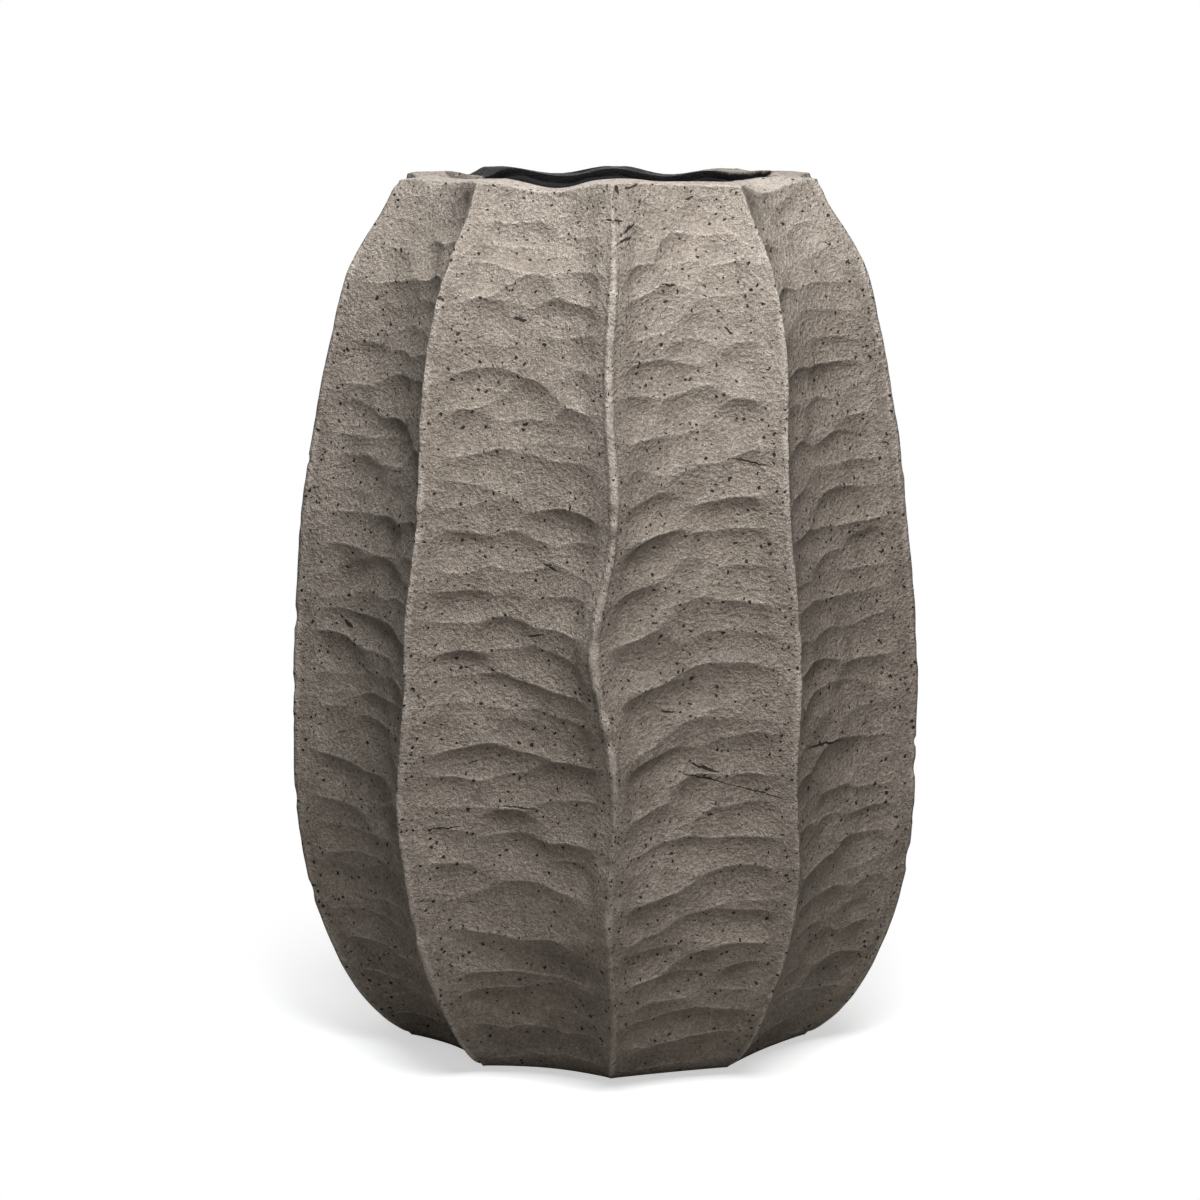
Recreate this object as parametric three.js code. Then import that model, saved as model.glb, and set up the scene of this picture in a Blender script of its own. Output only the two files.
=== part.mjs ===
// A tall hand-carved flower pot of fired clay: a star-shaped wall of ten sharp, wandering ridges
// with hollow flutes between them, a wavy lip, a black sealing coat inside, a stopper in the
// drain hole and soft pads under the foot.
// Millimetres, +Z up. The origin is on the ground under the middle of the pot, and one ridge faces -Y.

import * as THREE from 'three';

// Outline of the ridges, with heights above the foot of the clay
const CLAY_HEIGHT = 360;
const FOOT_RADIUS = 89;
const FOOT_EDGE = 1.5;
const FOOT_FLARE_OUT = 9.5;
const FOOT_FLARE_UP = 2.5;
const BELLY_RADIUS = 135;
const BELLY_HEIGHT = 119;
const BELLY_CURVE_BELOW = 80;
const BELLY_CURVE_ABOVE = 79;
const SHOULDER_RADIUS = 114;
const SHOULDER_DROP = 49;
const SHOULDER_CURVE_OUT = 11.4;
const SHOULDER_CURVE_DOWN = 50.5;
const NECK_CURVE_IN = 6.4;
const NECK_CURVE_UP = 27;
const LIP_RADIUS = 90;
const LIP_CURVE = 15.5;
const LIP_LEAN = 3.9;

// Depth of the flutes below the ridges, and the power that makes them full: 1 is a plain wave,
// and less gives steep flanks along the ridges with a flatter hollow between
const BELLY_FLUTE = 20;
const SHOULDER_FLUTE = 17;
const LIP_FLUTE = 13;
const FLUTE_FULLNESS = 0.75;

// The ridges in order, the first at the front and the next towards +X. Each was cut by hand: it
// lies shift aside of its even place, strays by bump round the height at, as far up and down as
// reach, and sways to and fro with a crest at the height swing. It lifts the lip by rise, less
// drop at the lip's inner edge.
const RIDGES = [
  { shift: 1.2, bump: -6.0, at: 184, reach: 30, swing: 127, rise: 1.2, drop: 0 },
  { shift: -4.8, bump: 6.0, at: 335, reach: 55, swing: 181, rise: -0.4, drop: 0 },
  { shift: 0, bump: 3.0, at: 205, reach: 42, swing: 60, rise: 0.3, drop: 0 },
  { shift: 0, bump: -4.0, at: 140, reach: 42, swing: 100, rise: 0.3, drop: 0 },
  { shift: -6.0, bump: 4.0, at: 230, reach: 42, swing: 30, rise: 0, drop: 1.4 },
  { shift: -4.5, bump: 5.0, at: 110, reach: 42, swing: 90, rise: 0.2, drop: 1.4 },
  { shift: 0, bump: -4.0, at: 190, reach: 42, swing: 140, rise: 0.8, drop: 1.4 },
  { shift: 0, bump: 4.0, at: 150, reach: 42, swing: 70, rise: 0.1, drop: 0 },
  { shift: 0, bump: -3.0, at: 235, reach: 42, swing: 110, rise: 0, drop: 0 },
  { shift: 0, bump: -5.5, at: 122, reach: 28, swing: 235, rise: 0.7, drop: 0 },
];
const SWAY = 1.3;
const SWAY_LENGTH = 105;

// The flutes, each after the ridge of its place: foot deep at the ground, with the lip dipped by
// dip at its outer edge and by innerDip at its inner edge.
const FLUTES = [
  { foot: 4.5, dip: 0.3, innerDip: 0.5 },
  { foot: 7, dip: 4.5, innerDip: 0.8 },
  { foot: 9, dip: 4, innerDip: 2 },
  { foot: 10, dip: 0.6, innerDip: 0.5 },
  { foot: 8, dip: 3.2, innerDip: 3 },
  { foot: 9, dip: 3.2, innerDip: 3.2 },
  { foot: 10, dip: 2.8, innerDip: 2.8 },
  { foot: 8, dip: 4, innerDip: 2 },
  { foot: 10, dip: 1, innerDip: 0.8 },
  { foot: 10, dip: 3.8, innerDip: 3.8 },
];
const LEAN = 1.6;

// Clay wall, lip, floor and drain hole
const WALL = 13;
const INNER_FLUTE_SHARE = 0.5;
const LIP_EDGE = 1.2;
const LIP_FALL = 0.6;
const LIP_WAVE_DEPTH = 45;
const FLOOR = 15;
const FLOOR_CORNER = 14;
const RECESS_RADIUS = 46;
const RECESS_DEPTH = 4;
const DRAIN_RADIUS = 12;
const DRAIN_TAPER = 1.5;

// Sealing coat on the inner wall and the floor
const COAT = 1.4;
const COAT_GAP = 0.4;
const COAT_BELOW_LIP = 3;
const COAT_SETBACK = 2;

// Stopper in the drain hole
const STOPPER_CLEARANCE = 0.3;
const STOPPER_SHORT = 1;
const FLANGE_RADIUS = 19;
const FLANGE = 3.5;
const STEM_RADIUS = 5.5;
const STEM = 6;
const KNOB_RADIUS = 10;
const KNOB = 9;

// Pads stuck under the foot
const PADS = 5;
const PAD_RADIUS = 9;
const PAD = 2;
const PAD_EDGE = 0.5;
const ADHESIVE = 0.3;

// Steps of the facets
const COLUMNS_PER_FLUTE = 8;
const FOOT_STEPS = 9;
const SHOULDER_STEPS = 11;
const NECK_STEPS = 6;
const INNER_STEPS = 10;
const CORNER_STEPS = 3;
const ROUND_SIDES = 28;

// Sizes that follow from the others
const SHOULDER_HEIGHT = CLAY_HEIGHT - SHOULDER_DROP;
const PITCH = (2 * Math.PI) / RIDGES.length;
const MEAN_FOOT_FLUTE = FLUTES.reduce((sum, hollow) => sum + hollow.foot, 0) / FLUTES.length;

const clayMaterial = new THREE.MeshStandardMaterial({ color: 0x8c8379, roughness: 0.95, metalness: 0 });
const coatMaterial = new THREE.MeshStandardMaterial({ color: 0x191616, roughness: 0.45, metalness: 0 });
const stopperMaterial = new THREE.MeshStandardMaterial({ color: 0x2b2b2c, roughness: 0.7, metalness: 0 });
const padMaterial = new THREE.MeshStandardMaterial({ color: 0x6f6a62, roughness: 0.9, metalness: 0 });

// A station of a profile: the radius at a ridge, the height and the depth of the flutes there.
// The clay is cut to sharp ridges outside, pressed to soft waves inside and turned true below.
function station(radius, height, flute, work = 'cut') {
  return { radius, height, flute, work };
}

// One stretch of the ridge outline, with its flutes changing evenly from one end to the other.
function stretch(curve, steps, fluteBelow, fluteAbove) {
  return curve.getPoints(steps).map((point, i) =>
    station(point.x, point.y, THREE.MathUtils.lerp(fluteBelow, fluteAbove, i / steps)));
}

// The ridge outline from the foot to the lip.
function ridgeOutline() {
  const at = (radius, height) => new THREE.Vector2(radius, height);
  const lipEdge = CLAY_HEIGHT - LIP_FALL - LIP_EDGE;
  const foot = new THREE.CubicBezierCurve(
    at(FOOT_RADIUS, FOOT_EDGE),
    at(FOOT_RADIUS + FOOT_FLARE_OUT, FOOT_EDGE + FOOT_FLARE_UP),
    at(BELLY_RADIUS, BELLY_HEIGHT - BELLY_CURVE_BELOW),
    at(BELLY_RADIUS, BELLY_HEIGHT));
  const shoulder = new THREE.CubicBezierCurve(
    at(BELLY_RADIUS, BELLY_HEIGHT),
    at(BELLY_RADIUS, BELLY_HEIGHT + BELLY_CURVE_ABOVE),
    at(SHOULDER_RADIUS + SHOULDER_CURVE_OUT, SHOULDER_HEIGHT - SHOULDER_CURVE_DOWN),
    at(SHOULDER_RADIUS, SHOULDER_HEIGHT));
  const neck = new THREE.CubicBezierCurve(
    at(SHOULDER_RADIUS, SHOULDER_HEIGHT),
    at(SHOULDER_RADIUS - NECK_CURVE_IN, SHOULDER_HEIGHT + NECK_CURVE_UP),
    at(LIP_RADIUS + LIP_LEAN, lipEdge - LIP_CURVE),
    at(LIP_RADIUS, lipEdge));
  return [
    ...stretch(foot, FOOT_STEPS, MEAN_FOOT_FLUTE, BELLY_FLUTE),
    ...stretch(shoulder, SHOULDER_STEPS, BELLY_FLUTE, SHOULDER_FLUTE).slice(1),
    ...stretch(neck, NECK_STEPS, SHOULDER_FLUTE, LIP_FLUTE).slice(1),
  ];
}

// The outline's radius and flute at any height, between its stations.
function outlineAt(outline, height) {
  const above = outline.findIndex((point) => point.height >= height);
  const high = outline[above < 0 ? outline.length - 1 : Math.max(above, 1)];
  const low = outline[outline.indexOf(high) - 1];
  const share = THREE.MathUtils.clamp((height - low.height) / (high.height - low.height), 0, 1);
  return {
    radius: THREE.MathUtils.lerp(low.radius, high.radius, share),
    flute: THREE.MathUtils.lerp(low.flute, high.flute, share),
  };
}

// The inner wall, set in from the flutes by the wall, with shallower waves of its own.
function innerStation(outline, height) {
  const outer = outlineAt(outline, height);
  const flute = outer.flute * INNER_FLUTE_SHARE;
  return station(outer.radius - outer.flute - WALL + flute, height, flute, 'pressed');
}

// The inner face from the sealing coat's edge down the wall, round the corner and over the floor.
function innerFace(outline) {
  const top = CLAY_HEIGHT - COAT_BELOW_LIP;
  const bottom = FLOOR + FLOOR_CORNER;
  const face = [];
  for (let i = 0; i <= INNER_STEPS; i += 1) {
    face.push(innerStation(outline, THREE.MathUtils.lerp(top, bottom, i / INNER_STEPS)));
  }
  const foot = face[face.length - 1];
  for (let i = 1; i <= CORNER_STEPS; i += 1) {
    const turn = (i / CORNER_STEPS) * (Math.PI / 2);
    face.push(station(
      foot.radius - FLOOR_CORNER * (1 - Math.cos(turn)),
      bottom - FLOOR_CORNER * Math.sin(turn),
      foot.flute * (1 - i / CORNER_STEPS),
      'pressed'));
  }
  return face;
}

// The face set off towards the inside of the pot, square to its slope at each station.
function setOff(face, distance) {
  return face.map((point, i) => {
    const before = face[Math.max(i - 1, 0)];
    const after = face[Math.min(i + 1, face.length - 1)];
    const along = new THREE.Vector2(after.radius - before.radius, after.height - before.height);
    along.normalize();
    const level = i === face.length - 1;
    return station(
      level ? point.radius : point.radius + along.y * distance,
      level ? point.height + distance : point.height - along.x * distance,
      point.flute,
      'pressed');
  });
}

// How far a ridge lies aside of its even place at a height.
function aside(ridge, height) {
  const stray = ridge.bump * Math.exp(-(((height - ridge.at) / ridge.reach) ** 2));
  const sway = SWAY * Math.cos((2 * Math.PI * (height - ridge.swing)) / SWAY_LENGTH);
  return ridge.shift + stray + sway;
}

// Turns a closed loop of stations about the axis and cuts it to the hand-made ridges and flutes.
function handTurned(loop) {
  const columns = RIDGES.length * COLUMNS_PER_FLUTE;
  const closed = [...loop, loop[0]];
  const points = closed.map((point) => new THREE.Vector2(point.radius, point.height));
  const geometry = new THREE.LatheGeometry(points, columns);
  const position = geometry.attributes.position;
  for (let column = 0; column <= columns; column += 1) {
    const place = column % columns;
    const number = Math.floor(place / COLUMNS_PER_FLUTE);
    const ridge = RIDGES[number];
    const next = RIDGES[(number + 1) % RIDGES.length];
    const hollow = FLUTES[number];
    const share = (place % COLUMNS_PER_FLUTE) / COLUMNS_PER_FLUTE;
    const wavy = Math.sin(Math.PI * share);
    const sharp = wavy ** FLUTE_FULLNESS;
    const soft = wavy * wavy;
    const over = THREE.MathUtils.smoothstep(share, 0, 1);
    const rise = THREE.MathUtils.lerp(ridge.rise, next.rise, over);
    const drop = THREE.MathUtils.lerp(ridge.drop, next.drop, over);
    closed.forEach((point, i) => {
      const hand = point.work === 'turned' ? 0 : 1;
      const pressed = point.work === 'pressed';
      const sideways = THREE.MathUtils.lerp(aside(ridge, point.height), aside(next, point.height), share);
      const angle = (place / COLUMNS_PER_FLUTE) * PITCH + (hand * sideways) / BELLY_RADIUS;
      const lean = -LEAN * Math.sin(angle) * Math.sin((Math.PI * point.height) / CLAY_HEIGHT);
      const nearFoot = THREE.MathUtils.clamp(1 - point.height / BELLY_HEIGHT, 0, 1);
      const footChange = (hollow.foot / MEAN_FOOT_FLUTE - 1) * nearFoot;
      const nearLip = THREE.MathUtils.smoothstep(point.height, CLAY_HEIGHT - LIP_WAVE_DEPTH, CLAY_HEIGHT);
      const depth = point.flute * (pressed ? soft : sharp) * (1 + footChange);
      const wave = rise - (pressed ? drop + hollow.innerDip * soft : hollow.dip * soft);
      const radius = point.radius - depth + hand * lean;
      const height = point.height + hand * wave * nearLip;
      const vertex = column * closed.length + i;
      position.setXYZ(vertex, radius * Math.sin(angle), height, radius * Math.cos(angle));
    });
  }
  geometry.setIndex(quads(closed, columns));
  return geometry.rotateX(Math.PI / 2);
}

// Two triangles for each facet, split from low on one column to high on the next whichever way
// the profile runs, so that two faces that lie together are split alike.
function quads(closed, columns) {
  const index = [];
  for (let column = 0; column < columns; column += 1) {
    for (let i = 0; i < closed.length - 1; i += 1) {
      const near = column * closed.length + i;
      const far = near + closed.length;
      const rising = closed[i + 1].height > closed[i].height;
      const split = rising ? [near, far, far + 1, near, far + 1, near + 1]
        : [near, far, near + 1, far, far + 1, near + 1];
      index.push(...split);
    }
  }
  return index;
}

// Turns a profile that starts and ends on the axis.
function turned(profile, sides) {
  const points = profile.map(([radius, height]) => new THREE.Vector2(radius, height));
  return new THREE.LatheGeometry(points, sides).rotateX(Math.PI / 2);
}

// The clay wall: up the ridges, over the lip, down the inner face and back under the foot.
function clayGeometry(outline, inner) {
  const edge = outline[outline.length - 1];
  const innerEdge = innerStation(outline, CLAY_HEIGHT - LIP_EDGE);
  const lip = [
    station(edge.radius - LIP_EDGE / 3, CLAY_HEIGHT - LIP_FALL - LIP_EDGE / 3, edge.flute),
    station(edge.radius - LIP_EDGE, CLAY_HEIGHT - LIP_FALL, edge.flute),
    station(innerEdge.radius + LIP_EDGE, CLAY_HEIGHT, innerEdge.flute, 'pressed'),
    innerEdge,
  ];
  const underside = [
    station(DRAIN_RADIUS, FLOOR, 0, 'turned'),
    station(DRAIN_RADIUS - DRAIN_TAPER, RECESS_DEPTH, 0, 'turned'),
    station(RECESS_RADIUS - RECESS_DEPTH, RECESS_DEPTH, 0, 'turned'),
    station(RECESS_RADIUS, 0, 0, 'turned'),
    station(FOOT_RADIUS - FOOT_EDGE, 0, MEAN_FOOT_FLUTE),
  ];
  return handTurned([...outline, ...lip, ...inner, ...underside]);
}

// The coat: a thin skin on the inner face, cut back round the drain hole.
function coatGeometry(inner) {
  const back = setOff(inner, COAT_GAP);
  const front = setOff(inner, COAT_GAP + COAT);
  const hole = DRAIN_RADIUS + COAT_SETBACK;
  return handTurned([
    ...back.reverse(),
    ...front,
    station(hole, FLOOR + COAT_GAP + COAT, 0, 'turned'),
    station(hole, FLOOR + COAT_GAP, 0, 'turned'),
  ]);
}

// The stopper: a tapered plug, a flange that lies on the coat, and a knob to lift it by.
function stopperGeometry() {
  const plugTop = FLOOR + COAT_GAP + COAT + STOPPER_CLEARANCE;
  const plugEnd = RECESS_DEPTH + STOPPER_SHORT;
  const taper = DRAIN_TAPER / (FLOOR - RECESS_DEPTH);
  const plugRadius = (height) => DRAIN_RADIUS - STOPPER_CLEARANCE - taper * Math.max(FLOOR - height, 0);
  const flangeTop = plugTop + FLANGE;
  const knobFoot = flangeTop + STEM;
  const knobTop = knobFoot + KNOB;
  return turned([
    [0, plugEnd],
    [plugRadius(plugEnd) - STOPPER_SHORT, plugEnd],
    [plugRadius(plugEnd + STOPPER_SHORT), plugEnd + STOPPER_SHORT],
    [plugRadius(FLOOR), FLOOR],
    [plugRadius(FLOOR), plugTop],
    [FLANGE_RADIUS - FLANGE / 4, plugTop],
    [FLANGE_RADIUS, plugTop + FLANGE / 4],
    [FLANGE_RADIUS, plugTop + FLANGE / 2],
    [FLANGE_RADIUS - FLANGE / 2, flangeTop],
    [STEM_RADIUS + STEM / 4, flangeTop],
    [STEM_RADIUS, flangeTop + STEM / 4],
    [STEM_RADIUS, knobFoot],
    [KNOB_RADIUS - KNOB / 6, knobFoot + KNOB / 4],
    [KNOB_RADIUS, knobFoot + KNOB / 2],
    [KNOB_RADIUS - KNOB / 6, knobTop - KNOB / 6],
    [KNOB_RADIUS / 2, knobTop],
    [0, knobTop],
  ], ROUND_SIDES);
}

// One pad, lying on the ground with its rounded edge down.
function padGeometry() {
  return turned([
    [0, 0],
    [PAD_RADIUS - PAD_EDGE, 0],
    [PAD_RADIUS, PAD_EDGE],
    [PAD_RADIUS, PAD],
    [0, PAD],
  ], ROUND_SIDES);
}

function named(name, geometry, material) {
  const mesh = new THREE.Mesh(geometry, material);
  mesh.name = name;
  return mesh;
}

const pot = new THREE.Group();
pot.name = 'tall_flower_pot';

const outline = ridgeOutline();
const inner = innerFace(outline);
const raised = [
  named('clay_body', clayGeometry(outline, inner), clayMaterial),
  named('sealing_coat', coatGeometry(inner), coatMaterial),
  named('drain_stopper', stopperGeometry(), stopperMaterial),
];
for (const mesh of raised) {
  mesh.position.z = PAD + ADHESIVE;
  pot.add(mesh);
}

// The pads sit midway along the foot's flat ring, under every second ridge.
const deepestFoot = Math.max(...FLUTES.map((hollow) => hollow.foot));
const padCircle = (RECESS_RADIUS + FOOT_RADIUS - FOOT_EDGE - deepestFoot) / 2;
for (let i = 0; i < PADS; i += 1) {
  const angle = (i / PADS) * 2 * Math.PI;
  const pad = named(`foot_pad_${i + 1}`, padGeometry(), padMaterial);
  pad.position.set(padCircle * Math.sin(angle), -padCircle * Math.cos(angle), 0);
  pot.add(pad);
}

export default pot;
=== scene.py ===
"""Looks of a tall hand-carved flower pot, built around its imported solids.

The clay wall is turned from one profile, cut into ten wandering ridges and carved with a gouge.
A black coat lines the inside, a rubber stopper closes the drain hole and five pads carry the foot.
Everything is in metres, +Z up, with one ridge facing -Y.
"""

import math

import bmesh
import bpy
import numpy as np
from bpy.props import FloatProperty, FloatVectorProperty, IntProperty, PointerProperty
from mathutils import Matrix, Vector, noise


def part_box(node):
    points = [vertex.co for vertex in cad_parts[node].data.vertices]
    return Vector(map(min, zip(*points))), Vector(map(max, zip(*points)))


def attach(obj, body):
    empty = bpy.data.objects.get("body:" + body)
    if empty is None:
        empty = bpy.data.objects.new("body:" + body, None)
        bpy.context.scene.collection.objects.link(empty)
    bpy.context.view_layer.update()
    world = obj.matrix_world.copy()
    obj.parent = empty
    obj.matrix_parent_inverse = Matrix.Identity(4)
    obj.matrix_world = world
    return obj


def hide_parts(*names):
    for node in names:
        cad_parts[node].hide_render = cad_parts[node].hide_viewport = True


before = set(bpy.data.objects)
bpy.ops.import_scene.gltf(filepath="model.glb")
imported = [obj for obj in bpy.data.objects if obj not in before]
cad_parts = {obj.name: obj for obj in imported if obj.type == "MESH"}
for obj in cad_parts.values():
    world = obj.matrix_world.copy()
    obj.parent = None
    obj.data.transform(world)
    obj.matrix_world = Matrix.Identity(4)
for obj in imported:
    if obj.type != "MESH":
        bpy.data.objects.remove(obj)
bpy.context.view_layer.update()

bl_info = {
    "name": "Tall carved flower pot",
    "version": (1, 0, 0),
    "blender": (4, 5, 0),
    "location": "View3D > Sidebar > Flower pot",
    "description": "Builds the looks of a tall hand-carved clay flower pot around its packed solids",
    "category": "Object",
}

CLAY_LOW, CLAY_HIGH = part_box("clay_body")
STOPPER_LOW, STOPPER_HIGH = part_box("drain_stopper")
PADS = [name for name in sorted(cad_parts) if name.startswith("foot_pad_")]

# The ridges in order, the first at the front and the next towards +X: how far each lies aside of
# its even place, how far it strays, the height round which it does and how far up and down, the
# height of a crest of its sway, how far it lifts the lip, how much less at the lip's inner edge,
# and how strong its bead is
RIDGES = np.array([
    (0.0012, -0.0060, 0.184, 0.030, 0.127, 0.0012, 0.0, 1.0),
    (-0.0048, 0.0060, 0.335, 0.055, 0.181, -0.0004, 0.0, 0.3),
    (0.0, 0.0030, 0.205, 0.042, 0.060, 0.0003, 0.0, 0.2),
    (0.0, -0.0040, 0.140, 0.042, 0.100, 0.0003, 0.0, 0.5),
    (-0.0060, 0.0040, 0.230, 0.042, 0.030, 0.0, 0.0014, 0.3),
    (-0.0045, 0.0050, 0.110, 0.042, 0.090, 0.0002, 0.0014, 0.7),
    (0.0, -0.0040, 0.190, 0.042, 0.140, 0.0008, 0.0014, 0.3),
    (0.0, 0.0040, 0.150, 0.042, 0.070, 0.0001, 0.0, 0.4),
    (0.0, -0.0030, 0.235, 0.042, 0.110, 0.0, 0.0, 0.2),
    (0.0, -0.0055, 0.122, 0.028, 0.235, 0.0007, 0.0, 0.3),
])
SHIFT, STRAY, STRAY_AT, STRAY_REACH, SWAY_AT, LIP_RISE, LIP_DROP, BEAD = RIDGES.T

# The flutes, each after the ridge of its place: the depth at the foot, the dip of the lip at its
# outer and its inner edge, and the slant of the cuts
FLUTES = np.array([
    (0.0045, 0.0003, 0.0005, 0.14),
    (0.0070, 0.0045, 0.0008, 0.12),
    (0.0090, 0.0040, 0.0020, -0.08),
    (0.0100, 0.0006, 0.0005, 0.10),
    (0.0080, 0.0032, 0.0030, -0.05),
    (0.0090, 0.0032, 0.0032, 0.06),
    (0.0100, 0.0028, 0.0028, -0.12),
    (0.0080, 0.0040, 0.0020, 0.05),
    (0.0100, 0.0010, 0.0008, -0.06),
    (0.0100, 0.0038, 0.0038, -0.04),
])
FOOT_FLUTE, LIP_DIP, INNER_DIP, SLANT = FLUTES.T
MEAN_FOOT_FLUTE = FOOT_FLUTE.mean()
FLUTE_ANGLE = 2 * np.pi / len(RIDGES)

# Cracks and nicks of the front: side, height, length, width and slope in degrees
CRACKS = (
    (0.0375, 0.1355, 0.0130, 0.0011, -22),
    (0.0390, 0.1310, 0.0220, 0.0007, -16),
    (0.0600, 0.1255, 0.0220, 0.0007, -12),
    (-0.0355, 0.1200, 0.0140, 0.0007, -2),
    (-0.0225, 0.2155, 0.0070, 0.0009, -27),
    (0.0230, 0.1590, 0.0050, 0.0008, -16),
    (-0.0655, 0.1105, 0.0140, 0.0007, 6),
    (0.0030, 0.3600, 0.0040, 0.0012, -75),
    (0.0090, 0.3610, 0.0055, 0.0011, 12),
    (0.0060, 0.3410, 0.0055, 0.0012, 22),
    (0.0080, 0.3455, 0.0065, 0.0010, 40),
    (-0.0345, 0.3100, 0.0055, 0.0014, -10),
    (0.0235, 0.3235, 0.0060, 0.0010, -9),
    (0.0315, 0.3560, 0.0035, 0.0010, 24),
    (0.0465, 0.3055, 0.0040, 0.0010, -40),
    (0.0550, 0.2555, 0.0140, 0.0007, -11),
    (0.0865, 0.1375, 0.0160, 0.0011, -7),
    (-0.1060, 0.1830, 0.0055, 0.0014, -38),
)

# Heights of the clay are counted from its foot
FOOT = CLAY_LOW.z
LIP = CLAY_HIGH.z - CLAY_LOW.z - LIP_RISE.max()

# Steps of the meshes: the columns of each flute, most of them at the front, then the rows. The
# wall's rows start afresh in each of its blocks, and its cuts are worked out on finer rows.
FLUTE_COLUMNS = (40, 34, 24, 17, 17, 17, 17, 24, 34, 40)
RIDGE_CROWDING = 0.6
WALL_BLOCKS = 11
BLOCK_ROWS = 30
WALL_ROWS = WALL_BLOCKS * BLOCK_ROWS + 1
FINE_ROWS = 1600
EDGE_ROWS = 4
LIP_ROWS = 6
LIP_END = WALL_ROWS + EDGE_ROWS + LIP_ROWS
INNER_ROWS = 16
CORNER_ROWS = 5
COAT_COLUMNS = (16,) * 10
COAT_ROWS = 44
COAT_CROWDING = 1.3
ROUND_STEPS = 64

# Rows crowd at the sharp edges of cuts: the fine rows that count to each side, how much closer
# the rows lie, and the bends at which crowding starts and is full
CROWD_REACH = 5
CROWDING = 3
CROWD_BENDS = (0.000005, 0.000013)

# How the cuts vary: lowest and highest share of the size that is set, and where between its upper
# and its lower edge a cut is deepest
ARCH_SPREAD = (0.4, 1.3)
REACH_SPREAD = (0.85, 1.2)
DEPTH_SPREAD = (0.6, 1.25)
WIDTH_SPREAD = (0.85, 1.2)
PITCH_SPREAD = (0.95, 1.2)
STEP_SPREAD = (0.8, 1.2)
DEEPEST = (0.36, 0.46)

# Small waves in a cut's upper edge: how high, and how far along for one radian
EDGE_WAVES = ((0.0005, 0.0061), (0.0003, 0.0027))

# Kinds of rows: how often each comes, where in the flute its cuts lie, and their half width
ROW_KINDS = (
    (0.12, (0.0,), 0.50),
    (0.48, (-0.2, 0.2), 0.35),
    (0.40, (-0.3, 0.0, 0.3), 0.27),
)

# How far a cut strays: across in flute widths, up in pitches, and in slope. Its slope also fans
# out with its place in the flute.
CUT_ASIDE = 0.06
CUT_UP = 0.4
CUT_SLOPE = 0.14
CUT_FAN = 0.25

# Two facets below the lip in each flute: how far below it, half width and place in flute widths,
# slope, and depth beside a cut's
FACET_BELOW = (0.004, 0.008)
FACET_HALF = (0.3, 0.4)
FACET_ASIDE = (0.14, 0.24)
FACET_SLOPE = (0.25, 0.55)
FACET_DEPTH = 0.75

# Where cuts run out: clear of a ridge, and to a share of their depth close to the lip
CUT_CLEAR = 0.003
LIP_CUTS = 0.7
LIP_CUTS_FADE = (0.004, 0.022)

# Chips of each ridge: how many, their size, their height beside it, how far aside of the crest and
# how low on the wall they may lie, and their share of the depth that is set
CHIPS = 7
CHIP_SIZE = (0.0018, 0.0042)
CHIP_STRETCH = (0.8, 2.2)
CHIP_ASIDE = 0.002
CHIP_LOWEST = 0.02
CHIP_DEPTH = (0.4, 1)

# The bead: its share low on the wall and where it grows, its share at the lip and where it fades,
# and how much its width and height vary
BEAD_LOW = 0.4
BEAD_GROWS = (0.12, 0.2)
BEAD_AT_LIP = 0.25
BEAD_FADE = (0.018, 0.045)
BEAD_WIDTH_VARIES = 0.35
BEAD_VARIES = 0.8

# Noise of the hand-worked clay: width of its lumps, and a number that sets each apart
BEAD_WANDER = (0.012, 1)
BEAD_LUMPS = (0.006, 2)
SWELLING = (0.034, 3)
SMALL_LUMPS = (0.0075, 4)
LIP_LUMPS = (0.011, 5)
STAIN_LUMPS = (0.008, 6)
BLACK_LUMPS = (0.012, 7)
LUMPS_APART = 17.3

# The relief ends smoothly above the foot and below the lip, whose top is a little uneven
FOOT_FADE = 0.006
LIP_FADE = 0.002
LIP_UNEVEN = 0.0005

# Painted edge light: fine rows to each side of a cut's edge, and the height at which a crest is
# fully painted as highlight or a hollow fully as shade. Wear: share of a ridge's wear at the lip,
# wear of the lip, and the strip of more pinholes beside a ridge
EDGE_LIGHT_STEP = 3
EDGE_LIGHT_HEIGHT = 0.00025
RUBBED_AT_LIP = 0.35
LIP_WEAR = 0.6
STRIP_FADE = (0.004, 0.014)

# The coat's edge: where it hangs lower as angle from the front, half width and depth, its brush
# marks, and the part of the far lip that is black, with ragged ends, all angles in degrees
COAT_DIPS = ((252, 20, 0.0080), (112, 24, 0.0016))
BRUSH_MARKS = 0.0006
BRUSH_WAVES = (23, 9)
STAIN_RAGGED = 0.0015
STAIN_FADE = (-0.005, 0.003)
BLACK_STARTS = (144, 156)
BLACK_ENDS = (229, 243)
BLACK_RAGGED = 9

# The inside: its first row below the lip, and how far the coat stays back from the drain hole
INNER_START = 0.0022
COAT_HOLE_GAP = 0.002

# Curves of the stopper, each counted outwards and upwards from its corner, and the knob's grip
STEM_FILLET = ((0.0035, 0), (0.001, 0.0008), (0, 0.0025))
KNOB_BELOW = ((-0.0015, 0.0022), (0, 0.0045))
KNOB_ABOVE = ((-0.0012, -0.0012), (-0.0035, 0))
KNOB_HOLLOW = 0.0006
GRIP_START = 0.001
GRIP_DEPTH = 0.03
GRIPS = 8

# Edges of the rubber that bend more than this, in radians, are rounded. Bloom makes it lighter.
SHARP_BEND = 0.4
BLOOM_GAIN = 1.8
BLOOM_LIFT = 0.01

# Vertices closer together than the first are merged. Normals are divided by no less than the second.
MERGE_DISTANCE = 1e-6
LEAST_LENGTH = 1e-12

# The studio floor reaches this far from the pot. It turns white between the two distances.
FLOOR_REACH = 6.0
FLOOR_STEPS = 8
FLOOR_WHITENS = (0.12, 0.26)

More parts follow.
